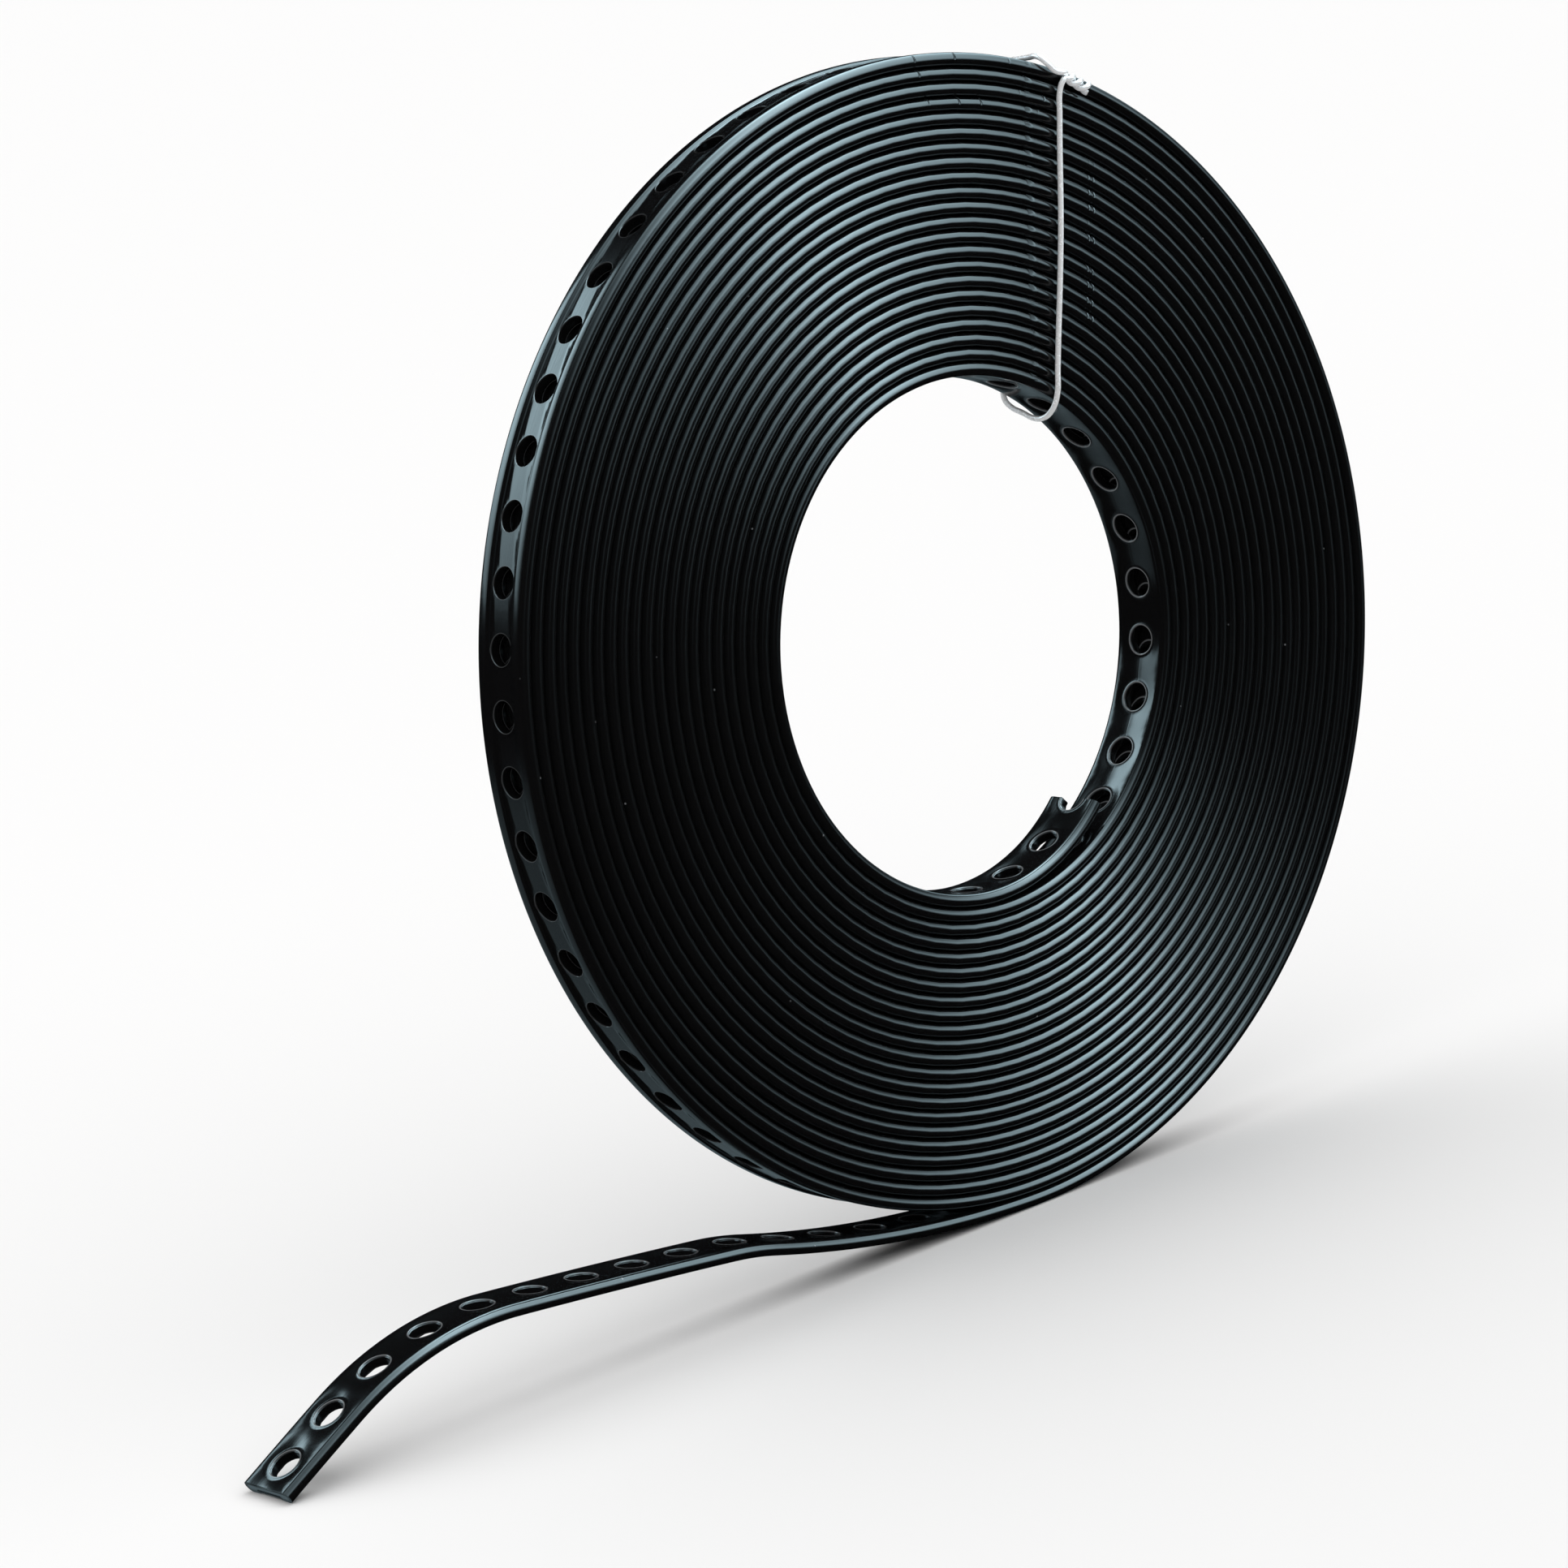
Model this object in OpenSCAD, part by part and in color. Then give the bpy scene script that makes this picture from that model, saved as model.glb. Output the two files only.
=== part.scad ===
// Coil of plastic-coated perforated steel strap, standing on its rim with its free tail on the floor.
// The coil is drawn flat in the XY plane, about Z, with the start of its winding on the X axis, and is
// stood up on the floor at the end. The winding grows clockwise from its inner end, as seen from the front.

/* [Strap] */
// Width of the strap over its rounded edges
strap_w = 12; // [8:0.5:20]
// Thickness of the strap with its coat
strap_t = 2.3; // [1.5:0.1:3]
// Width of the sunk band along the outer face
channel_w = 5.4; // [3:0.2:6]
// Depth of the sunk band along the outer face
channel_depth = 0.4; // [0.2:0.1:0.6]
// Diameter of the holes
hole_d = 5.2; // [3:0.1:5.2]
// Distance between hole centres along the strap
hole_pitch = 10.6; // [8:0.2:16]

/* [Coil] */
// Diameter of the bore in the middle of the coil
bore_d = 89; // [80:1:120]
// Number of turns
turns = 22; // [16:1:26]
// Air between neighbouring turns
turn_gap = 0.2; // [0.1:0.1:0.4]
// Where the winding starts on the standing coil
start_angle = -55.5; // [-56.5:0.5:-54.5]

/* [Inner end] */
// Angle over which the inner end stands off the winding
lift_angle = 45; // [30:1:60]
// Radius of the inner end at the middle of its thickness
lift_r = 38; // [34:1:40]
// Angle that the inner end sweeps about its own centre
end_sweep = 54; // [40:1:60]

/* [Tail] */
// Angle from the start of the winding to where the tail leaves the coil
leave_angle = 36.5; // [36:0.5:38]
// Radius of the slack stretch beside the coil
slack_r = 260; // [200:10:320]
// Angle of the slack stretch
slack_angle = 13; // [11:0.5:14]
// Radius of the crest, where the tail starts to bend back
crest_r = 65; // [40:1:90]
// Angle of the crest
crest_angle = 8.5; // [8:0.5:11]
// Radius of the nearly level stretch
level_r = 2000; // [1000:100:3000]
// Angle of the nearly level stretch
level_angle = 1.3; // [1:0.1:1.8]
// Radius of the bend down to the floor
bend_r = 58; // [40:1:80]
// Angle of the bend down to the floor
bend_angle = 34; // [31:0.5:40]
// Radius of the nearly straight stretch that ends on the floor
foot_r = 1500; // [1000:100:3000]
// Distance from the last hole's centre to the cut end
end_margin = 5; // [4:0.1:5.2]

/* [Tie wire] */
// Diameter of the wire
wire_d = 1; // [0.8:0.1:1.6]
// Radius of the wire's bends at the middle of the wire
wire_bend = 1.75; // [1.5:0.05:2.5]
// Room between the wire and the sides of the coil
wire_clear = 0.15; // [0.1:0.05:0.4]
// Room between the wire and the rim or the bore
wire_slack = 0.5; // [0.4:0.1:0.9]
// Where the wire crosses the rim, from the start of the winding
wire_rim_angle = 125.5; // [115:0.5:130]
// Where the wire crosses the bore, from the start of the winding
wire_bore_angle = 112.5; // [96:0.5:118]
// Length of the twisted ends
twist_len = 7; // [5:0.5:14]
// Diameter of the twisted ends
twist_d = 1.9; // [1.7:0.1:2.4]

/* [Hidden] */
$fn = 96;
cut = 1; // how far a cutter runs past the face that it opens
bore_r = bore_d / 2;
turn_pitch = strap_t + turn_gap;
flat_w = strap_w - strap_t; // between the centres of the rounded edges
last_turn = turns - 1;

// The winding is a true spiral of half turns: the second half's centre is shifted by half a pitch,
// so that each half turn meets the next one face to face, with the same tangent.
half_step = turn_pitch / 2;
first_centre = [0, 0];
second_centre = [half_step, 0];
lift_centre = (mid_r(0) - lift_r) * [cos(lift_angle), -sin(lift_angle)];

// The tail is a chain of bends, each [radius, angle]: a positive radius bends on with the coil and a
// negative one bends back. A place on it is [x, y, heading].
tail_start = [mid_r(turns) * cos(leave_angle), -mid_r(turns) * sin(leave_angle), -leave_angle - 90];
free_bends = [[slack_r, slack_angle], [-crest_r, crest_angle], [-level_r, level_angle], [-bend_r, bend_angle]];
foot_start = along(free_bends, tail_start, chain_len(free_bends));
floor_r = inner_r(turns) + strap_t; // from the coil's centre down to the floor
foot_height = floor_r + stand(bend_centre(foot_start, -foot_r))[1];
foot_heading = -acos(foot_height / (foot_r - strap_t / 2)) - start_angle;
tail_bends = concat(free_bends, [[-foot_r, foot_heading - foot_start[2]]]);
tail_len = chain_len(tail_bends);
tail_end = along(tail_bends, tail_start, tail_len);

// Holes are spaced from the cut end of the tail back along the outermost turn, and from the inner end outwards.
// One that would straddle the plane where an end leaves the winding is left out.
rim_room = hole_d / 2 + 0.6;
tail_holes = [for (s = tail_len - end_margin; s > rim_room; s = s - hole_pitch) s];
follow_len = arc_len(mid_r(turns), leave_angle);
second_len = arc_len(mid_r(last_turn) + half_step, 180);
shadow = 14; // angle beside the tail where the outermost turn is out of reach
first_len = arc_len(mid_r(last_turn), 180 - leave_angle - shadow);
first_back = hole_pitch - tail_holes[len(tail_holes) - 1];
outer_holes = [for (s = first_back; s < follow_len + second_len + first_len; s = s + hole_pitch) if (s > rim_room) s];
lift_len = arc_len(lift_r, end_sweep);
inner_first_len = arc_len(mid_r(0), 180 - lift_angle);
inner_second_len = arc_len(mid_r(0) + half_step, 180);
end_holes = [for (s = 0; s < lift_len - rim_room; s = s + hole_pitch) s];
inner_turn_end = lift_len + inner_first_len + inner_second_len - rim_room;
inner_holes = [for (s = len(end_holes) * hole_pitch; s < inner_turn_end; s = s + hole_pitch)
    if (s > lift_len + rim_room) s];

// The tie wire is a loop in one plane, from the bore to the rim
wire_r = wire_d / 2;
wire_rim_r = inner_r(last_turn) + half_step + strap_t + wire_slack + wire_r;
wire_bore_r = inner_r(0) + half_step - wire_slack - wire_r;
wire_rim = second_centre + wire_rim_r * [cos(wire_rim_angle), sin(wire_rim_angle)];
wire_bore = second_centre + wire_bore_r * [cos(wire_bore_angle), sin(wire_bore_angle)];
wire_run = norm(wire_rim - wire_bore);
wire_side = strap_w / 2 + wire_clear + wire_r;
wire_angle = atan2(wire_rim[1] - wire_bore[1], wire_rim[0] - wire_bore[0]);
twist_rise = twist_d / 2 - 0.4 * wire_d; // keeps the twist's underside just above the wire's

// The origin is on the floor, under the middle of the whole object
right_side = stand(second_centre)[0] + inner_r(last_turn) + half_step + strap_t;
left_side = stand(tail_end)[0] + strap_t / 2 * sin(tail_end[2] + start_angle);
middle_x = (left_side + right_side) / 2;

// Radii of a turn of the first half, at its inner face and at the middle of its thickness
function inner_r(turn) = bore_r + turn * turn_pitch;
function mid_r(turn) = inner_r(turn) + strap_t / 2;

function arc_len(radius, angle) = abs(radius) * angle * PI / 180;
function chain_len(bends, i = 0) = i == len(bends) ? 0 : arc_len(bends[i][0], bends[i][1]) + chain_len(bends, i + 1);

// A point turned with the standing coil
function stand(p) = [p[0] * cos(start_angle) - p[1] * sin(start_angle), p[0] * sin(start_angle) + p[1] * cos(start_angle)];

// The centre of a bend that starts at the place p, and the place that lies s along it
function bend_centre(p, radius) = [p[0] + radius * sin(p[2]), p[1] - radius * cos(p[2])];
function walk(p, radius, s) =
    let (turned = p[2] - s / radius * 180 / PI, centre = bend_centre(p, radius))
    [centre[0] - radius * sin(turned), centre[1] + radius * cos(turned), turned];

// The place that lies s along a chain of bends
function along(bends, p, s, i = 0) =
    let (run = arc_len(bends[i][0], bends[i][1]))
    s <= run || i == len(bends) - 1
        ? walk(p, bends[i][0], s)
        : along(bends, walk(p, bends[i][0], run), s - run, i + 1);

// Moves to a place in ever finer steps, so that neighbouring bends meet to the last digit
module move_to(p, step = 0.1) {
    part = [for (c = p) round(c / step) * step];
    if (step > 1e-5) translate(part) move_to(p - part, step / 1000) children();
    else translate(p) children();
}

// One strap, cut across: inner face on x = 0, sunk band on the outer face
module strap_section() {
    difference() {
        union() {
            translate([0, -flat_w / 2]) square([strap_t, flat_w]);
            for (side = [-1, 1]) translate([strap_t / 2, side * flat_w / 2]) circle(d = strap_t);
        }
        translate([strap_t - channel_depth, -channel_w / 2]) square([channel_depth + cut, channel_w]);
    }
}

// Neighbouring turns, cut across: their flats run together and their rounded edges show
module wound_section(first, last, below = 0, above = 0) {
    translate([inner_r(first) - below, -flat_w / 2])
        square([(last - first) * turn_pitch + strap_t + below + above, flat_w]);
    for (turn = [first:last], side = [-1, 1])
        translate([mid_r(turn), side * flat_w / 2]) circle(d = strap_t);
}

module channel_section(turn) {
    translate([inner_r(turn) + strap_t - channel_depth, -channel_w / 2]) square([channel_depth + cut, channel_w]);
}

// Turns a section about a centre, counter-clockwise from an angle
module wind(centre, from, sweep) {
    move_to(centre) rotate_extrude(angle = sweep, start = from) children();
}

// A hole through one turn, square to it
module turn_hole(centre, angle, from_r, depth) {
    translate(centre) rotate([0, 0, angle]) translate([from_r, 0, 0])
        rotate([0, 90, 0]) cylinder(d = hole_d, h = depth);
}

// Hole in the outermost turn, s back from where the tail leaves; its floor is the turn behind it
module outer_hole(s) {
    depth = turn_pitch + cut;
    if (s < follow_len)
        turn_hole(first_centre, s / mid_r(turns) * 180 / PI - leave_angle, inner_r(turns) - turn_gap, depth);
    else if (s < follow_len + second_len)
        turn_hole(second_centre, (s - follow_len) / (mid_r(last_turn) + half_step) * 180 / PI,
            inner_r(last_turn) + half_step - turn_gap, depth);
    else
        turn_hole(first_centre, 180 + (s - follow_len - second_len) / mid_r(last_turn) * 180 / PI,
            inner_r(last_turn) - turn_gap, depth);
}

// Hole in the innermost turn, s along it from the inner end; its floor is the turn behind it
module inner_hole(s) {
    depth = turn_pitch + cut;
    if (s < lift_len + inner_first_len)
        turn_hole(first_centre, -lift_angle - (s - lift_len) / mid_r(0) * 180 / PI, inner_r(0) - cut, depth);
    else
        turn_hole(second_centre, 180 - (s - lift_len - inner_first_len) / (mid_r(0) + half_step) * 180 / PI,
            inner_r(0) + half_step - cut, depth);
}

module winding() {
    wind(first_centre, 180, 180) wound_section(1, last_turn);
    wind(first_centre, 180, 180 - lift_angle) wound_section(0, 0, above = turn_gap);
    wind(first_centre, -leave_angle, leave_angle) wound_section(turns, turns, below = turn_gap);
    wind(second_centre, 0, 180) translate([half_step, 0]) wound_section(0, last_turn);
}

module coil() {
    difference() {
        winding();
        wind(first_centre, 180, 180 - leave_angle) channel_section(last_turn);
        wind(first_centre, -leave_angle, leave_angle) channel_section(turns);
        wind(second_centre, 0, 180) translate([half_step, 0]) channel_section(last_turn);
        for (s = outer_holes) outer_hole(s);
        for (s = inner_holes) inner_hole(s);
    }
}

// The inner end bends in off the winding and is cut off square through a hole
module inner_end() {
    difference() {
        wind(lift_centre, -lift_angle, end_sweep) translate([lift_r - strap_t / 2, 0]) strap_section();
        for (s = end_holes)
            turn_hole(lift_centre, end_sweep - lift_angle - s / lift_r * 180 / PI, lift_r - strap_t / 2 - cut,
                strap_t + 2 * cut);
    }
}

// One bend of the tail, from the place p
module tail_bend(p, radius, angle) {
    if (radius > 0)
        wind(bend_centre(p, radius), p[2] + 90 - angle, angle)
            translate([radius - strap_t / 2, 0]) strap_section();
    else
        wind(bend_centre(p, radius), p[2] - 90, angle)
            translate([-radius + strap_t / 2, 0]) mirror([1, 0]) strap_section();
}

module tail() {
    difference() {
        for (i = [0:len(tail_bends) - 1])
            tail_bend(along(tail_bends, tail_start, chain_len([for (j = [0:1:i - 1]) tail_bends[j]])),
                tail_bends[i][0], tail_bends[i][1]);
        for (s = tail_holes)
            let (p = along(tail_bends, tail_start, s))
                translate([p[0], p[1], 0]) rotate([90, 0, p[2]])
                    cylinder(d = hole_d, h = strap_t + 2 * cut, center = true);
    }
}

module stand_up() {
    translate([-middle_x, 0, floor_r]) rotate([90, 0, 0]) rotate([0, 0, start_angle]) children();
}

module strap() {
    color([0.09, 0.10, 0.11]) stand_up() {
        coil();
        inner_end();
        tail();
    }
}

module wire_corner(x, z, from) {
    translate([x, 0, z]) rotate([90, 0, 0]) rotate_extrude(angle = 90, start = from)
        translate([wire_bend, 0]) circle(d = wire_d);
}

module tie_wire() {
    leg_len = wire_run - 2 * wire_bend;
    cross_len = 2 * (wire_side - wire_bend);
    color("silver") stand_up() {
        translate(wire_bore) rotate([0, 0, wire_angle]) {
            for (side = [-1, 1])
                translate([wire_bend, 0, side * wire_side]) rotate([0, 90, 0]) cylinder(d = wire_d, h = leg_len);
            for (x = [0, wire_run])
                translate([x, 0, 0]) cylinder(d = wire_d, h = cross_len, center = true);
            wire_corner(wire_bend, cross_len / 2, 90);
            wire_corner(wire_run - wire_bend, cross_len / 2, 0);
            wire_corner(wire_bend, -cross_len / 2, 180);
            wire_corner(wire_run - wire_bend, -cross_len / 2, 270);
        }
        translate(wire_rim) rotate([0, 0, wire_rim_angle - 90])
            translate([-twist_d / 2, twist_rise, cross_len / 4]) rotate([0, 90, 0]) cylinder(d = twist_d, h = twist_len);
    }
}

strap();
tie_wire();
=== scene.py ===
# A coil of coated, perforated strap held by a twisted tie wire, standing on a pale studio floor.
import math

import bmesh
import bpy
import numpy as np
from mathutils import Matrix, Quaternion, Vector


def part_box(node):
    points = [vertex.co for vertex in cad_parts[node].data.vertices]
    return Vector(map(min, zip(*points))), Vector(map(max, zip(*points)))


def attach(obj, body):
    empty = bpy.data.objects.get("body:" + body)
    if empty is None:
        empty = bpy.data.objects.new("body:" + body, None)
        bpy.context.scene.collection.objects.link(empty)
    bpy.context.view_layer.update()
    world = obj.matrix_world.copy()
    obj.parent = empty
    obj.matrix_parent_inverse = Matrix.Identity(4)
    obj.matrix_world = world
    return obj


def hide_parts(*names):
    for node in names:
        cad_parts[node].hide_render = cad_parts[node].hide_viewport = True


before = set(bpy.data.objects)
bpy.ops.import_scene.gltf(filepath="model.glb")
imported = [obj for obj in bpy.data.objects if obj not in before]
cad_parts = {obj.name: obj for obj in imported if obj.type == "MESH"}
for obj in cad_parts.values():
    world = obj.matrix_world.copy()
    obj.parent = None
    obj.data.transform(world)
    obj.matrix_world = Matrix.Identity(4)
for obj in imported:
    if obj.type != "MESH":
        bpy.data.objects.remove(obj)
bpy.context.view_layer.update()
scene = bpy.context.scene

# Camera: the photograph's view, from the left of the coil and a little above it. The coil leans in
# the photograph and stands upright here, so the camera is rolled by the same angle.
MM = 0.001
VIEW_TARGET = Vector((-10.6, 0, 85.1)) * MM
VIEW_AZIMUTH = math.radians(40.47)
VIEW_ELEVATION = math.radians(10.76)
VIEW_ROLL = math.radians(-7.54)
VIEW_DISTANCE = 736.6 * MM
SENSOR = 36
LENS = 100.86
NEAREST_SEEN = 0.01

camera = bpy.data.objects.new("camera", bpy.data.cameras.new("camera"))
camera.data.sensor_width = SENSOR
camera.data.lens = LENS
camera.data.clip_start = NEAREST_SEEN
camera.rotation_mode = "QUATERNION"
view_back = Vector((-math.sin(VIEW_AZIMUTH), -math.cos(VIEW_AZIMUTH), math.tan(VIEW_ELEVATION)))
view_back.normalize()
camera.rotation_quaternion = view_back.to_track_quat("Z", "Y") @ Quaternion((0, 0, 1), VIEW_ROLL)
camera.location = VIEW_TARGET + view_back * VIEW_DISTANCE
scene.collection.objects.link(camera)
scene.camera = camera

# Strap: one 10 m length of punched steel strap in a glossy black plastic coat, with a sunk band along
# its outer face. It is wound on a mandrel into 22 turns, and its cut ends show the steel core. Sizes are
# in millimetres until a mesh is placed.
STRAP_W = 12.0
STRAP_T = 2.3
FLAT_HALF = (STRAP_W - STRAP_T) / 2
BAND_HALF = 2.7
BAND_DEPTH = 0.4
HOLE_R = 2.6
HOLE_PITCH = 10.6
END_MARGIN = 5.0
COAT = 0.65

# The route follows the strap from its inner end: bends of [radius, degrees], where a negative radius
# bends away from the coil. Each half turn is half a pitch wider than the one before it.
BORE_R = 44.5
TURNS = 22
TURN_PITCH = 2.5
INNER_R = BORE_R + STRAP_T / 2
START_ANGLE = math.radians(-55.5)
LIFT_R = 38.0
LIFT_ANGLE = 45.0
END_SWEEP = 54.0
LEAVE_ANGLE = 36.5
TAIL_BENDS = [(260.0, 13.0), (-65.0, 8.5), (-2000.0, 1.3), (-58.0, 34.0)]
FOOT_R = 1500.0

floor_r = BORE_R + TURNS * TURN_PITCH + STRAP_T
right_reach = floor_r - TURN_PITCH / 2 + TURN_PITCH / 2 * math.cos(START_ANGLE)
strap_low, strap_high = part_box("strap")
coil_centre = Vector((strap_high.x / MM - right_reach, 0, strap_low.z / MM + floor_r))


def stood_up(x, y):
    """Turns a point of the flat winding with the standing coil, about the coil's centre."""
    return (x * math.cos(START_ANGLE) - y * math.sin(START_ANGLE),
            x * math.sin(START_ANGLE) + y * math.cos(START_ANGLE))


def bend_centre(place, radius):
    """The centre of a bend that starts at a place, which is [x, y, heading]."""
    x, y, heading = place
    return x + radius * math.sin(heading), y - radius * math.cos(heading)


def bend_end(place, radius, angle):
    """The place where a bend ends."""
    x, y = bend_centre(place, radius)
    heading = place[2] - math.copysign(angle, radius)
    return x - radius * math.sin(heading), y + radius * math.cos(heading), heading


bends = [(LIFT_R, END_SWEEP), (INNER_R, 180 - LIFT_ANGLE)]
bends += [(INNER_R + half * TURN_PITCH / 2, 180) for half in range(1, 2 * TURNS)]
bends += [(INNER_R + TURNS * TURN_PITCH, LEAVE_ANGLE)] + TAIL_BENDS
bends = [(radius, math.radians(angle)) for radius, angle in bends]
end_angle = math.radians(END_SWEEP - LIFT_ANGLE)
lift_shift = (INNER_R - LIFT_R) * math.cos(math.radians(LIFT_ANGLE))
place = (lift_shift + LIFT_R * math.cos(end_angle), LIFT_R * math.sin(end_angle) - lift_shift,
         end_angle - math.pi / 2)
places = []
for radius, angle in bends:
    places.append(place)
    place = bend_end(place, radius, angle)
foot_height = floor_r + stood_up(*bend_centre(place, -FOOT_R))[1]
foot_heading = -math.acos(foot_height / (FOOT_R - STRAP_T / 2)) - START_ANGLE
places.append(place)
turned_already = 2 * math.pi * round((place[2] - foot_heading) / (2 * math.pi))
bends.append((-FOOT_R, foot_heading + turned_already - place[2]))
run_lengths = [abs(radius) * angle for radius, angle in bends]
run_starts = np.concatenate([[0], np.cumsum(run_lengths)[:-1]])
strap_len = sum(run_lengths)

last_hole = round((strap_len - END_MARGIN) / HOLE_PITCH)
cell_len = (strap_len - END_MARGIN) / last_hole

# Sway of the turns along the coil's axis: each wave is [millimetres, turns of phase per turn, start]
SWAY = [(0.10, 0.37, 0.4), (0.07, 0.113, 1.3), (0.03, 1.71, 2.2)]


def wound(flat):
    """Takes points of the flat strap (along, across, through) to their places on the coil, in metres."""
    along, across, through = flat.T
    run = np.clip(np.searchsorted(run_starts, along, side="right") - 1, 0, len(bends) - 1)
    radius = np.array([bend[0] for bend in bends])[run]
    start_x, start_y, start_heading = np.array(places)[run].T
    heading = start_heading - (along - run_starts[run]) / radius
    reach = radius + through - STRAP_T / 2
    x = start_x + radius * np.sin(start_heading) - reach * np.sin(heading)
    y = start_y - radius * np.cos(start_heading) + reach * np.cos(heading)
    sway = sum(size * np.sin(heading * rate + start) for size, rate, start in SWAY)
    stood_x, stood_z = stood_up(x, y)
    return np.column_stack((stood_x + coil_centre.x, across + sway, stood_z + coil_centre.z)) * MM


def fresh(made, kind):
    """The new points, edges or faces that an operator has made."""
    return [part for part in made["geom"] if isinstance(part, kind)]


def grown(shape, edges, shift):
    """Extrudes edges, moves each new point by a rule, and returns the new edges."""
    made = bmesh.ops.extrude_edge_only(shape, edges=edges)
    points = fresh(made, bmesh.types.BMVert)
    for point in points:
        point.co = shift(point.co)
    return [edge for edge in fresh(made, bmesh.types.BMEdge) if all(end in points for end in edge.verts)]


def holed_face(shape, sides, rings, half_width):
    """One face of a cell: rings of [radius, depth] from the hole out, then the cell's rectangle."""
    radius, depth = rings[0]
    points = bmesh.ops.create_circle(shape, segments=sides, radius=radius)["verts"]
    bmesh.ops.translate(shape, vec=(0, 0, depth), verts=points)
    hole_edges = list(dict.fromkeys(edge for point in points for edge in point.link_edges))
    edges = hole_edges
    for radius, depth in rings[1:]:
        edges = grown(shape, edges, lambda co: Vector((*(co.xy.normalized() * radius), depth)))

    def to_rectangle(co):
        aim = co.xy / max(abs(co.x), abs(co.y))
        return Vector((aim.x * cell_len / 2, aim.y * half_width, co.z))

    return hole_edges, grown(shape, edges, to_rectangle)


SAME_POINT = 1e-3
SAME_PLANE = 1e-4


def strap_cell(sides, inner_rings, band_rings, shoulder, edge_steps):
    """One pitch of the flat strap round a hole, open at both ends, with its inner face at depth 0."""
    shape = bmesh.new()
    inner_hole, _ = holed_face(shape, sides, inner_rings, FLAT_HALF)
    band_hole, band_rim = holed_face(shape, sides, band_rings, BAND_HALF)
    bmesh.ops.bridge_loops(shape, edges=inner_hole + band_hole)
    for side in (-1, 1):
        edges = [edge for edge in band_rim
                 if all(end.co.y * side > BAND_HALF - SAME_PLANE for end in edge.verts)]
        for across, depth in shoulder:
            edges = grown(shape, edges, lambda co: Vector((co.x, side * across, depth)))
        ends = list(dict.fromkeys(end for edge in edges for end in edge.verts))
        bmesh.ops.spin(shape, geom=edges + ends, cent=(0, side * FLAT_HALF, STRAP_T / 2), axis=(1, 0, 0),
                       dvec=(0, 0, 0), angle=-side * math.pi, steps=edge_steps, use_merge=False)
    bmesh.ops.remove_doubles(shape, verts=shape.verts, dist=SAME_POINT)
    return shape


def row_of_cells(cell, count, low, high):
    """A row of cells as one mesh, fitted from low to high along the strap."""
    mesh = bpy.data.meshes.new("row")
    cell.to_mesh(mesh)
    cell.free()
    row = bpy.data.objects.new("row", mesh)
    scene.collection.objects.link(row)
    array = row.modifiers.new("pitch", "ARRAY")
    array.count = count
    array.use_relative_offset = False
    array.use_constant_offset = True
    array.constant_offset_displace = (cell_len, 0, 0)
    array.use_merge_vertices = True
    array.merge_threshold = SAME_POINT
    made = bpy.data.meshes.new_from_object(row.evaluated_get(bpy.context.evaluated_depsgraph_get()))
    bpy.data.objects.remove(row)
    bpy.data.meshes.remove(mesh)
    made.transform(Matrix.Translation((cell_len / 2, 0, 0)))
    made.transform(Matrix.Diagonal(((high - low) / (count * cell_len), 1, 1, 1)))
    made.transform(Matrix.Translation((low, 0, 0)))
    return made


# Where a face shows, the hole's edge has a fine lip in a shallow dish, and the sunk band a stepped
# shoulder. Hidden faces are plain: the turns in between, and the outermost turn's inner face. A covered
# shoulder rises a hair into the turn over it, so no light comes through between them.
COVERED_RISE = TURN_PITCH + 0.02
BAND_FACE = STRAP_T - BAND_DEPTH
FINE_SIDES = 24
FINE_INNER_RINGS = [(HOLE_R, 0.35), (2.62, 0.14), (2.70, 0.03), (2.84, 0.0), (2.96, 0.04), (3.10, 0.09),
                    (3.60, 0.07), (4.40, 0.0)]
FINE_BAND_RINGS = [(HOLE_R, BAND_FACE - 0.25), (HOLE_R, BAND_FACE - 0.08), (2.66, BAND_FACE)]
FINE_SHOULDER = [(2.76, 1.97), (2.84, 2.14), (2.95, 2.20), (3.22, 2.20), (3.34, 2.27), (3.6, STRAP_T),
                 (FLAT_HALF, STRAP_T)]
FINE_EDGE_STEPS = 8
COVERED_SHOULDER = FINE_SHOULDER[:-1] + [(4.1, COVERED_RISE), (FLAT_HALF, STRAP_T)]
PLAIN_SIDES = 8
PLAIN_INNER_RINGS = [(HOLE_R, 0.0)]
PLAIN_BAND_RINGS = [(HOLE_R, BAND_FACE)]
PLAIN_SHOULDER = [(2.9, STRAP_T), (4.1, COVERED_RISE), (FLAT_HALF, STRAP_T)]
PLAIN_EDGE_STEPS = 7

# The strap is four rows of cells: the innermost turn and inner end, the hidden turns, the outermost turn,
# and the tail. The hidden row stops a little short of its neighbours and is bridged to them.
INNER_SEEN = 33
OUTER_SEEN = 59
TAIL_SEEN = 18
SPLICE = 0.6
SAME_CUT = 0.01
SHARP_ANGLE = math.radians(50)

hidden = last_hole + 1 - INNER_SEEN - OUTER_SEEN - TAIL_SEEN
inner_stop = (INNER_SEEN - 0.5) * cell_len
tail_start = (last_hole + 0.5 - TAIL_SEEN) * cell_len
outer_start = tail_start - OUTER_SEEN * cell_len
fine = (FINE_SIDES, FINE_INNER_RINGS, FINE_BAND_RINGS, FINE_SHOULDER, FINE_EDGE_STEPS)
outer = (FINE_SIDES, PLAIN_INNER_RINGS, FINE_BAND_RINGS, FINE_SHOULDER, FINE_EDGE_STEPS)
covered = (FINE_SIDES, FINE_INNER_RINGS, FINE_BAND_RINGS, COVERED_SHOULDER, FINE_EDGE_STEPS)
plain = (PLAIN_SIDES, PLAIN_INNER_RINGS, PLAIN_BAND_RINGS, PLAIN_SHOULDER, PLAIN_EDGE_STEPS)
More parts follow.
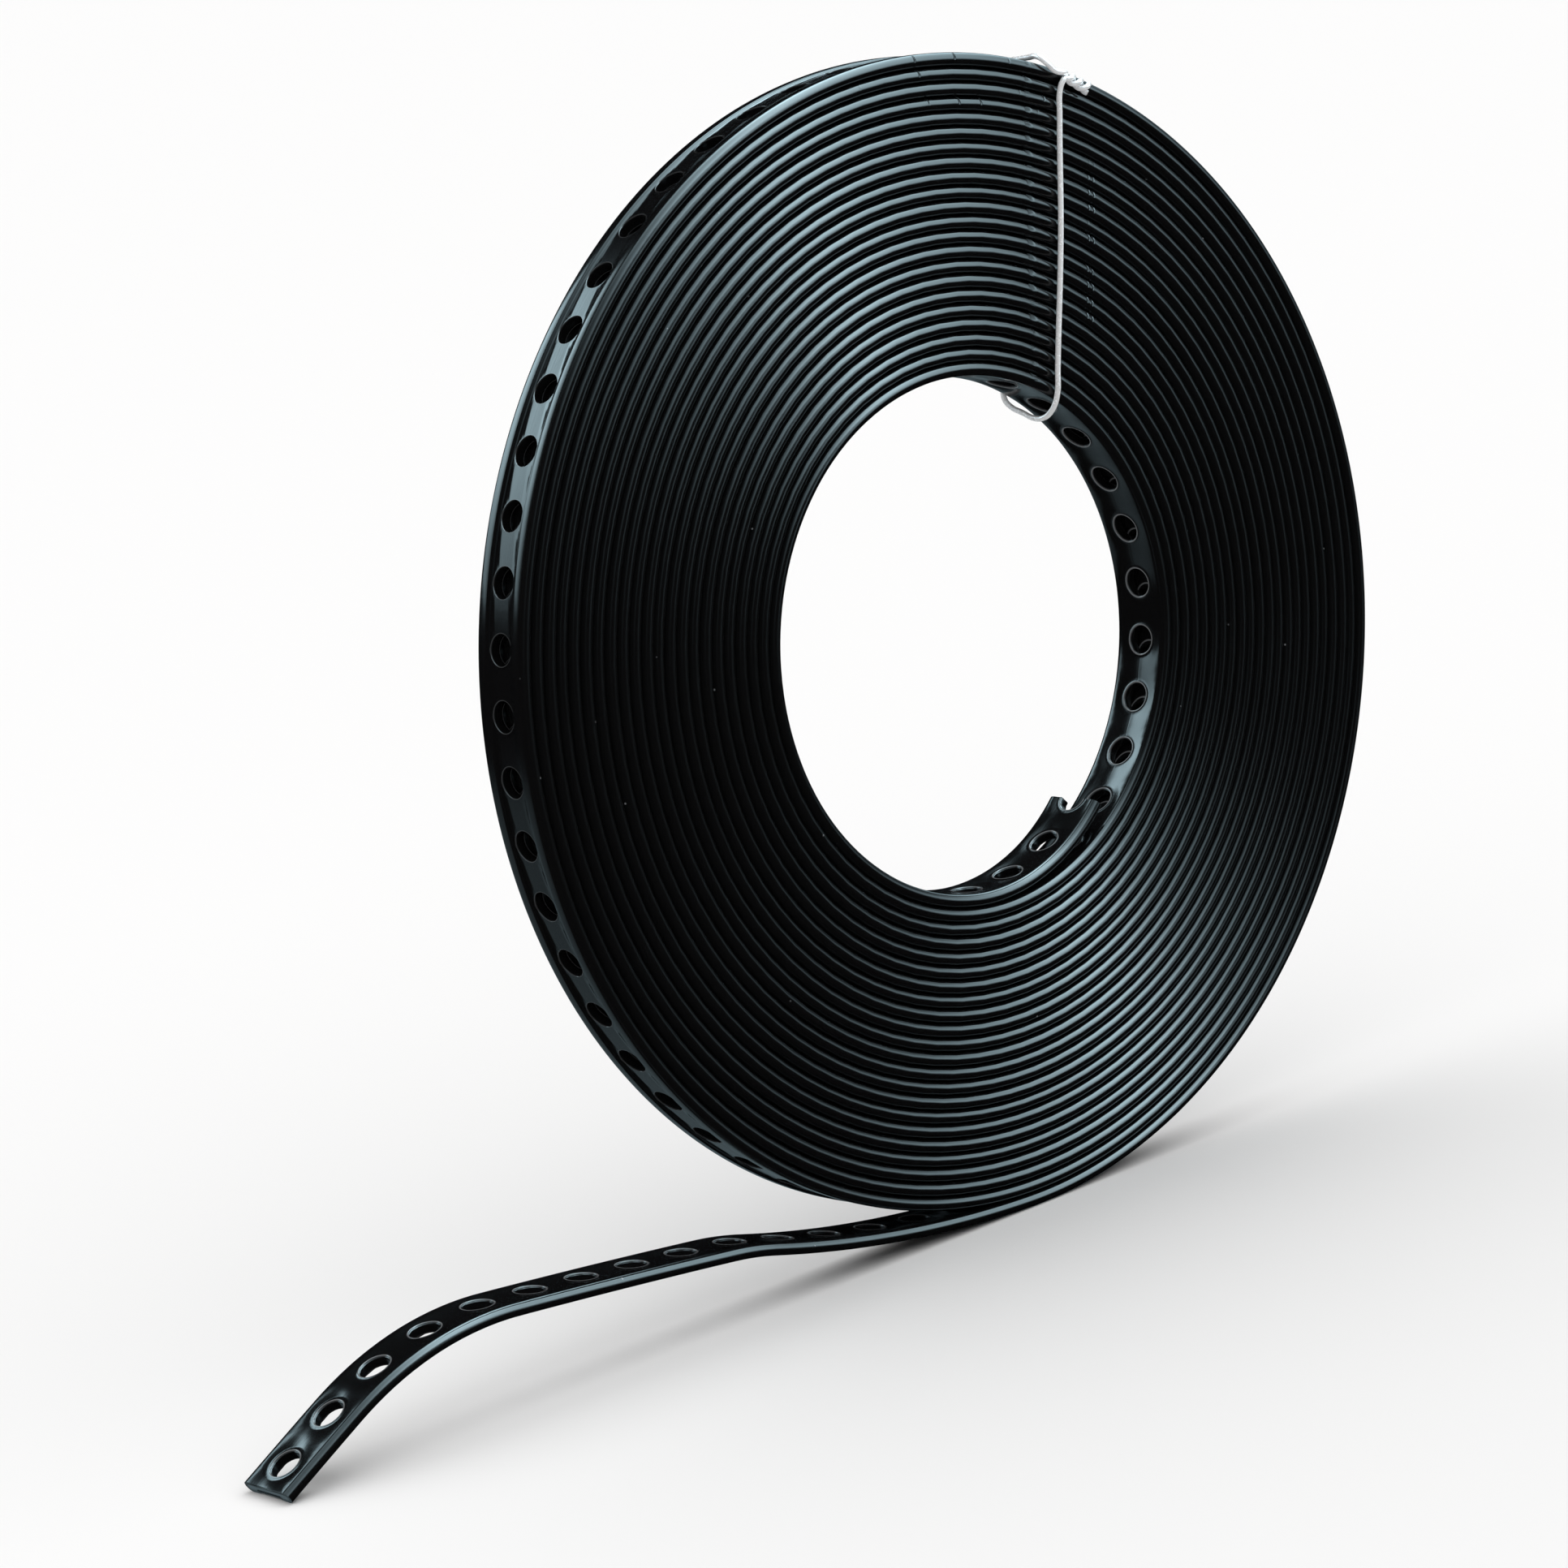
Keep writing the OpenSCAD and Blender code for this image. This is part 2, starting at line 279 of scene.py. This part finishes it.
rows = [(covered, INNER_SEEN, -cell_len / 2, inner_stop),
        (plain, hidden, inner_stop + SPLICE, outer_start - SPLICE),
        (outer, OUTER_SEEN, outer_start, tail_start),
        (fine, TAIL_SEEN, tail_start, (last_hole + 0.5) * cell_len)]
strap_shape = bmesh.new()
for recipe, count, low, high in rows:
    row_mesh = row_of_cells(strap_cell(*recipe), count, low, high)
    strap_shape.from_mesh(row_mesh)
    bpy.data.meshes.remove(row_mesh)
seam_points = [point for point in strap_shape.verts if abs(point.co.x - tail_start) < SAME_CUT]
bmesh.ops.remove_doubles(strap_shape, verts=seam_points, dist=SAME_CUT)


def open_edges(low, high):
    """The edges with a face on one side only, between two places along the strap."""
    return [edge for edge in strap_shape.edges
            if edge.is_boundary and all(low < end.co.x < high for end in edge.verts)]


for splice in (inner_stop, outer_start):
    bmesh.ops.bridge_loops(strap_shape, edges=open_edges(splice - 2 * SPLICE, splice + 2 * SPLICE))


def cut_off(at, side):
    """Cuts the strap square and closes the cut, with the steel core showing inside its coat."""
    near = [face for face in strap_shape.faces if abs(face.calc_center_median().x - at) < 2 * cell_len]
    parts = dict.fromkeys(near)
    for face in near:
        parts.update(dict.fromkeys([*face.edges, *face.verts]))
    bmesh.ops.bisect_plane(strap_shape, geom=list(parts), dist=SAME_PLANE, plane_co=(at, 0, 0),
                           plane_no=(side, 0, 0), clear_outer=True)
    rim = open_edges(at - SAME_CUT, at + SAME_CUT)
    faces = bmesh.ops.holes_fill(strap_shape, edges=rim, sides=0)["faces"]
    bmesh.ops.inset_individual(strap_shape, faces=faces, thickness=COAT, depth=0, use_even_offset=True)
    for face in faces:
        face.material_index = 1


cut_off(0, -1)
cut_off(strap_len, 1)
bmesh.ops.recalc_face_normals(strap_shape, faces=strap_shape.faces)

strap_mesh = bpy.data.meshes.new("strap_coil")
strap_shape.to_mesh(strap_mesh)
strap_shape.free()
flat = np.empty(len(strap_mesh.vertices) * 3, np.float32)
strap_mesh.vertices.foreach_get("co", flat)
strap_mesh.attributes.new("flat_place", "FLOAT_VECTOR", "POINT").data.foreach_set("vector", flat)
wound_places = wound(flat.reshape(-1, 3).astype(float))
strap_mesh.vertices.foreach_set("co", wound_places.astype(np.float32).ravel())
strap_mesh.update()
strap_mesh.shade_smooth()
strap_mesh.set_sharp_from_angle(angle=SHARP_ANGLE)
strap = bpy.data.objects.new("strap_coil", strap_mesh)
scene.collection.objects.link(strap)


class Field:
    """A value or vector that varies over a surface, so that a finish is written as plain sums."""

    def __init__(self, tree, socket=None):
        self.tree = tree
        self.socket = socket

    def node(self, kind, settings, inputs, output=0):
        """Adds any node: its settings first, then the values or fields of its sockets."""
        made = self.tree.nodes.new(kind)
        for name, value in settings.items():
            setattr(made, name, value)
        for name, value in inputs.items():
            if isinstance(value, Field):
                self.tree.links.new(value.socket, made.inputs[name])
            else:
                made.inputs[name].default_value = value
        return Field(self.tree, made.outputs[output])

    def sum(self, operation, *others):
        inputs = dict(enumerate((self, *others)))
        return self.node("ShaderNodeMath", {"operation": operation}, inputs)

    def __add__(self, other):
        return self.sum("ADD", other)

    __radd__ = __add__

    def __sub__(self, other):
        return self.sum("SUBTRACT", other)

    def __rsub__(self, other):
        return self.node("ShaderNodeMath", {"operation": "SUBTRACT"}, {0: other, 1: self})

    def __mul__(self, other):
        return self.sum("MULTIPLY", other)

    __rmul__ = __mul__

    def __truediv__(self, other):
        return self.sum("DIVIDE", other)

    def __rtruediv__(self, other):
        return self.node("ShaderNodeMath", {"operation": "DIVIDE"}, {0: other, 1: self})

    def size(self):
        return self.sum("ABSOLUTE")

    def rise(self, low, high):
        """0 below low and 1 above high, with a smooth step between them."""
        inputs = {"Value": self, "From Min": low, "From Max": high}
        return self.node("ShaderNodeMapRange", {"interpolation_type": "SMOOTHSTEP"}, inputs)

    def hump(self, middle, half):
        """1 at the middle and 0 past half on either side."""
        return 1 - (self - middle).size().rise(0, half)

    def stretched(self, scale):
        return self.node("ShaderNodeVectorMath", {"operation": "MULTIPLY"}, {0: self, 1: scale})

    def dot(self, aim):
        inputs = {0: self, 1: aim}
        return self.node("ShaderNodeVectorMath", {"operation": "DOT_PRODUCT"}, inputs, "Value")

    def axis(self, name):
        return self.node("ShaderNodeSeparateXYZ", {}, {"Vector": self}, name)

    def noise(self, scale, detail=2.0):
        return self.node("ShaderNodeTexNoise", {}, {"Vector": self, "Scale": scale, "Detail": detail})

    def mix(self, low, high):
        """A colour between two others, by this value."""
        inputs = {"Factor": self, 6: (*low, 1), 7: (*high, 1)}
        return self.node("ShaderNodeMix", {"data_type": "RGBA"}, inputs, 2)


def finish(name, fixed):
    """A new material, its shader with the values that are the same all over, and a field to start from."""
    material = bpy.data.materials.new(name)
    material.use_nodes = True
    shader = material.node_tree.nodes["Principled BSDF"]
    for socket, value in fixed.items():
        shader.inputs[socket].default_value = value
    return material, shader, Field(material.node_tree)


def link(shader, **fields):
    """Feeds fields to a shader's sockets, whose names are written with an underscore for a space."""
    for socket, field in fields.items():
        field.tree.links.new(field.socket, shader.inputs[socket.replace("_", " ")])


def relief(start, height, size):
    """A normal from a height in units of size, in metres."""
    inputs = {"Height": height, "Distance": size, "Strength": 1.0}
    return start.node("ShaderNodeBump", {}, inputs)


def in_millimetres(start):
    """The place on the piece, in millimetres."""
    return start.node("ShaderNodeTexCoord", {}, {}, "Object").stretched((1 / MM,) * 3)


# Where the wire has pressed and rubbed: a row of small dents beside it, on the front of each turn
WIRE_RIM_ANGLE = math.radians(125.5) + START_ANGLE
WIRE_BORE_ANGLE = math.radians(112.5) + START_ANGLE
WIRE_STANDOFF = 1.0
DENT_BORE_SHIFT = -4.4
DENT_RIM_SHIFT = -7.0
second_centre = Vector(stood_up(TURN_PITCH / 2, 0)).to_3d().xzy
wire_rim_r = floor_r - TURN_PITCH / 2 + WIRE_STANDOFF
wire_bore_r = BORE_R + TURN_PITCH / 2 - WIRE_STANDOFF


def spoke(angle):
    """The direction from the coil's centre out to an angle of the standing coil."""
    return Vector((math.cos(angle), 0, math.sin(angle)))


wire_rim = coil_centre + second_centre + spoke(WIRE_RIM_ANGLE) * wire_rim_r
wire_bore = coil_centre + second_centre + spoke(WIRE_BORE_ANGLE) * wire_bore_r
leg_up = (wire_rim - wire_bore).normalized()
leg_side = Vector((leg_up.z, 0, -leg_up.x))

COAT_BLACK = (0.0035, 0.0035, 0.0037)
# The pale grey of real dust specks, and of the painted highlight round each hole's lip
COAT_DUST_AND_LIP_HIGHLIGHT = (0.25, 0.26, 0.27)
HOLLOW_HALF_SQUARED = 27.0

coat, coat_shader, start = finish("black_coat", {"IOR": 1.5})
flat_place = start.node("ShaderNodeAttribute", {"attribute_name": "flat_place"}, {}, "Vector")
place_mm = in_millimetres(start)
along = flat_place.axis("X")
across = flat_place.axis("Y")
through = flat_place.axis("Z")
inner_face = 1 - through.rise(0.15, 0.4)
front = (1 - across.rise(-5.4, -4.4)) * through.rise(0.9, 1.5)
from_wire = place_mm.dot(leg_side) - wire_rim.dot(leg_side)
up_wire = (place_mm.dot(leg_up) - wire_bore.dot(leg_up)) / (wire_rim - wire_bore).length
upper = up_wire.rise(-0.2, 0.0)

blotches = flat_place.noise(0.05, 3.0)
peel = place_mm.noise(0.7, 2.0)
draw_lines = flat_place.stretched((0.02, 2.2, 2.2)).noise(1.0, 2.0)
patchy = flat_place.stretched((0.30, 1, 1)).noise(1.0, 1.0).rise(0.35, 0.62)
dent_line = DENT_BORE_SHIFT + up_wire * (DENT_RIM_SHIFT - DENT_BORE_SHIFT)
dents = (from_wire - dent_line).hump(0, 1.1) * front * upper * patchy
nick_gap = along.node("ShaderNodeTexVoronoi", {"voronoi_dimensions": "1D"}, {"W": along, "Scale": 0.11})
outer_nicks = nick_gap.hump(0, 0.03) * up_wire.rise(0.84, 0.87) * from_wire.hump(-22, 30)
pair_nicks = (from_wire.hump(8.3, 0.3) + from_wire.hump(9.5, 0.3)) * up_wire.hump(0.42, 0.34)
nicks = (outer_nicks + pair_nicks) * front * flat_place.noise(0.09, 0.0).rise(0.44, 0.52)
hole_step = along.sum("WRAP", cell_len / 2, -cell_len / 2)
hole_r = (hole_step * hole_step + across * across).sum("SQRT")
# Painted highlight: a pale ring painted round each hole's lip, on the inner face and in the sunk band of
# the outer face
inner_lip_highlight = hole_r.hump(2.76, 0.25) * inner_face * 0.55
lip_highlight = inner_lip_highlight + hole_r.hump(2.66, 0.15) * through.rise(1.6, 1.8) * 0.15
seam = across.hump(0, 0.14) * inner_face * blotches.rise(0.4, 0.6)
speck_gap = place_mm.node("ShaderNodeTexVoronoi", {}, {"Vector": place_mm, "Scale": 0.16})
specks = (1 - speck_gap.rise(0.016, 0.038)) * blotches.rise(0.46, 0.58)
hollow = 1 - (across * across / HOLLOW_HALF_SQUARED).sum("MINIMUM", 1.0)
bow = hollow * hollow * inner_face
height = peel * 0.006 + draw_lines * 0.008 - dents * 0.10 - nicks * 0.22 - seam * 0.012 - bow * 0.35
# The coat is painted pale at the dust specks and at the painted highlight round each hole's lip
pale = (specks + lip_highlight).sum("MINIMUM", 1.0)
roughness = 0.11 + blotches * 0.07 + specks * 0.3 + dents * 0.6 + nicks * 0.4
link(coat_shader, Base_Color=pale.mix(COAT_BLACK, COAT_DUST_AND_LIP_HIGHLIGHT), Roughness=roughness,
     Normal=relief(start, height, MM))

STEEL_DARK = (0.42, 0.42, 0.43)
STEEL_BRIGHT = (0.72, 0.72, 0.73)

core, core_shader, start = finish("cut_steel", {"Metallic": 1.0})
place_mm = in_millimetres(start)
shear_lines = place_mm.stretched((6, 1, 6)).noise(1.5, 3.0)
link(core_shader, Base_Color=shear_lines.mix(STEEL_DARK, STEEL_BRIGHT),
     Roughness=0.3 + shear_lines * 0.2, Normal=relief(start, shear_lines * 0.02, MM))

strap_mesh.materials.append(coat)
strap_mesh.materials.append(core)
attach(strap, "root")
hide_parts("strap")

# Tie wire: one bright galvanised binding wire. It is passed through the bore and round the wound turns,
# drawn up by hand, and its two ends are twisted together where they meet in front of the rim.
WIRE_R = 0.5
WIRE_GAP = 0.35
SIDE = STRAP_W / 2 + WIRE_GAP + WIRE_R
TWIST_R = 0.50
TWIST_SPLAY = 0.25
TWIST_PITCH = 4.0
TWIST_LEN = 6.0
TWIST_STEPS = 8
KNOT_Y = -7.25
KNOT_DROP = 2.0
KNOT_DIP = 0.15
KNOT_LEAD = 1.2
ZINC_DULL = (0.88, 0.89, 0.90)
ZINC_BRIGHT = (0.98, 0.98, 0.99)
run = (wire_rim - wire_bore).length
rim_out = spoke(WIRE_RIM_ANGLE)
knot_along = (Vector((rim_out.z, 0, -rim_out.x)) - rim_out * KNOT_DIP).normalized()


def on_leg(up, y, aside=0.0):
    """A point of the wire: how far up from the bore, how far back, and how far to the right."""
    return wire_bore + leg_up * up + leg_side * aside + Vector((0, y, 0))


def twisted(strand):
    """The points of one twisted end, from its root at the rim to its tip."""
    root = wire_rim - rim_out * KNOT_DROP + Vector((0, KNOT_Y, 0))
    steps = round(TWIST_STEPS * TWIST_LEN / TWIST_PITCH)
    for step in range(steps + 1):
        phase = 2 * math.pi * step / TWIST_STEPS + strand * math.pi
        swing = rim_out * math.cos(phase) + Vector((0, math.sin(phase), 0))
        reach = TWIST_R + TWIST_SPLAY * step / steps
        yield root + knot_along * (KNOT_LEAD + TWIST_LEN * step / steps) + swing * reach


front_half = [on_leg(run - 3.0, KNOT_Y, 0.5), on_leg(run - 4.5, -SIDE - 0.1),
              on_leg(run - 9, -SIDE), on_leg(run / 2, -SIDE - 0.1, 0.4), on_leg(6, -SIDE),
              on_leg(1.6, -SIDE + 0.05), on_leg(-1.0, -5.7), on_leg(-2.5, -3.6)]
back_half = [on_leg(-2.6, -1.2), on_leg(-1.6, 1.8), on_leg(-0.6, 4.6), on_leg(0.8, 6.3),
             on_leg(3.5, SIDE), on_leg(run / 2, SIDE), on_leg(run - 3, SIDE), on_leg(run - 0.4, 6.5),
             on_leg(run + 0.9, 4.8, -0.4), on_leg(run + 1.0, 1.8, -1.4), on_leg(run + 1.0, -1.6, -2.4),
             on_leg(run + 0.9, -4.6, -3.3), on_leg(run - 0.1, -6.4, -3.2), on_leg(run - 1.6, -7.1, -1.4)]
wire_points = list(twisted(1))[::-1] + front_half + back_half + list(twisted(0))

wire_curve = bpy.data.curves.new("wire_route", "CURVE")
wire_curve.dimensions = "3D"
wire_curve.bevel_depth = WIRE_R * MM
wire_curve.bevel_resolution = 4
wire_curve.resolution_u = 5
wire_curve.use_fill_caps = True
spline = wire_curve.splines.new("BEZIER")
spline.bezier_points.add(len(wire_points) - 1)
for bezier_point, point in zip(spline.bezier_points, wire_points):
    bezier_point.co = point * MM
    bezier_point.handle_left_type = "AUTO"
    bezier_point.handle_right_type = "AUTO"
route = bpy.data.objects.new("wire_route", wire_curve)
scene.collection.objects.link(route)
wire_mesh = bpy.data.meshes.new_from_object(route.evaluated_get(bpy.context.evaluated_depsgraph_get()))
bpy.data.objects.remove(route)
wire_mesh.shade_smooth()
wire_mesh.set_sharp_from_angle(angle=SHARP_ANGLE)
wire = bpy.data.objects.new("tie_wire_twisted", wire_mesh)
scene.collection.objects.link(wire)

zinc, zinc_shader, start = finish("galvanised_wire", {"Metallic": 0.25})
place_mm = in_millimetres(start)
spangle = place_mm.noise(1.3, 3.0)
drawn = place_mm.stretched((3, 3, 0.3)).noise(1.5, 2.0)
link(zinc_shader, Base_Color=spangle.mix(ZINC_DULL, ZINC_BRIGHT),
     Roughness=0.16 + spangle * 0.20, Normal=relief(start, drawn * 0.02 + spangle * 0.02, MM))
wire_mesh.materials.clear()
wire_mesh.materials.append(zinc)
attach(wire, "root")
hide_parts("tie_wire")

# Studio: a wide floor of pale paper that curves up far behind, under one even overhead light. The paper
# doesn't show in the black coat, as in the photograph, and a dome gives the coat its highlights. Sizes
# are in metres.
PAPER_COLOUR = (0.86, 0.86, 0.86, 1)
PAPER_SIDES = 64
PAPER_R = 3.0
PAPER_CURVE_R = 20.0
PAPER_CURVE_DEGREES = 16
ROOM_COLOUR = (0.05, 0.047, 0.045, 1)
LAMP_SIZE = 40
LAMP_HEIGHT = 10
LAMP_LEVEL = 1.31

paper_shape = bmesh.new()
bmesh.ops.create_circle(paper_shape, segments=PAPER_SIDES, radius=PAPER_R, cap_ends=True)
edges = list(paper_shape.edges)
for step in range(1, PAPER_CURVE_DEGREES + 1):
    lift = math.radians(step)
    radius = PAPER_R + PAPER_CURVE_R * math.sin(lift)
    level = PAPER_CURVE_R * (1 - math.cos(lift))
    edges = grown(paper_shape, edges, lambda co: Vector((*(co.xy.normalized() * radius), level)))
bmesh.ops.recalc_face_normals(paper_shape, faces=paper_shape.faces)
paper_mesh = bpy.data.meshes.new("paper_floor")
paper_shape.to_mesh(paper_mesh)
paper_shape.free()
paper_mesh.shade_smooth()
paper_floor = bpy.data.objects.new("paper_floor", paper_mesh)
scene.collection.objects.link(paper_floor)
paper = finish("pale_paper", {"Base Color": PAPER_COLOUR, "Specular IOR Level": 0})[0]
paper_mesh.materials.append(paper)
paper_floor.visible_glossy = False

world = bpy.data.worlds.new("room")
world.use_nodes = True
world.node_tree.nodes["Background"].inputs["Color"].default_value = ROOM_COLOUR
scene.world = world

lamp = bpy.data.lights.new("even_light", "AREA")
lamp.size = LAMP_SIZE
lamp.energy = LAMP_LEVEL * math.pi * LAMP_SIZE ** 2
even_light = bpy.data.objects.new("even_light", lamp)
even_light.location = (0, 0, LAMP_HEIGHT)
even_light.visible_camera = False
even_light.visible_glossy = False
scene.collection.objects.link(even_light)

# Light dome: a large sphere that shows in reflections alone, so it neither lights the paper nor shades it.
# It carries a soft band from the front over the coil to the back, which fades to its sides, a dimmer window
# with plain edges at the back on the left, and a faint glow low down at the back.
DOME_R = 4.0
DOME_CENTRE = (0.03, 0, 0.1)
DOME_TINT = (0.66, 0.90, 1.0)
DOME_STRENGTH = 12.4
BAND_MIDDLE = 0.38
BAND_SPREAD = 0.28
WINDOW_LEVEL = 0.45
LOW_GLOW_LEVEL = 0.02
DARK = (0, 0, 0)

dome_shape = bmesh.new()
bmesh.ops.create_icosphere(dome_shape, subdivisions=4, radius=DOME_R)
dome_mesh = bpy.data.meshes.new("light_dome")
dome_shape.to_mesh(dome_mesh)
dome_shape.free()
light_dome = bpy.data.objects.new("light_dome", dome_mesh)
light_dome.location = DOME_CENTRE
light_dome.visible_camera = False
light_dome.visible_diffuse = False
light_dome.visible_shadow = False
scene.collection.objects.link(light_dome)

fixed = {"Base Color": (*DARK, 1), "Specular IOR Level": 0, "Emission Strength": DOME_STRENGTH}
glow, glow_shader, start = finish("light_dome", fixed)
spot = start.node("ShaderNodeTexCoord", {}, {}, "Object").stretched((1 / DOME_R,) * 3)
x, y, z = (spot.axis(name) for name in "XYZ")
aside = (x - BAND_MIDDLE) / BAND_SPREAD
band = 1 / (1 + aside * aside) * (1 - 0.92 * x.rise(0.74, 0.97)) * x.rise(-0.75, -0.15)
band = band * z.rise(-0.18, 0.22) * y.rise(-0.92, -0.72) * (1 - y.rise(0.32, 0.60))
window = y.rise(0.66, 0.80) * (1 - x.rise(-0.08, 0)) * z.rise(0.15, 0.19)
window = window * (0.4 + 0.6 * z.rise(0.22, 0.5))
low_glow = y.rise(0.60, 0.72) * (1 - z.rise(-0.32, -0.14))
brightness = band + WINDOW_LEVEL * window + LOW_GLOW_LEVEL * low_glow
link(glow_shader, Emission_Color=brightness.mix(DARK, DOME_TINT))
glow.cycles.emission_sampling = "NONE"
dome_mesh.materials.append(glow)

scene.view_settings.view_transform = "Standard"
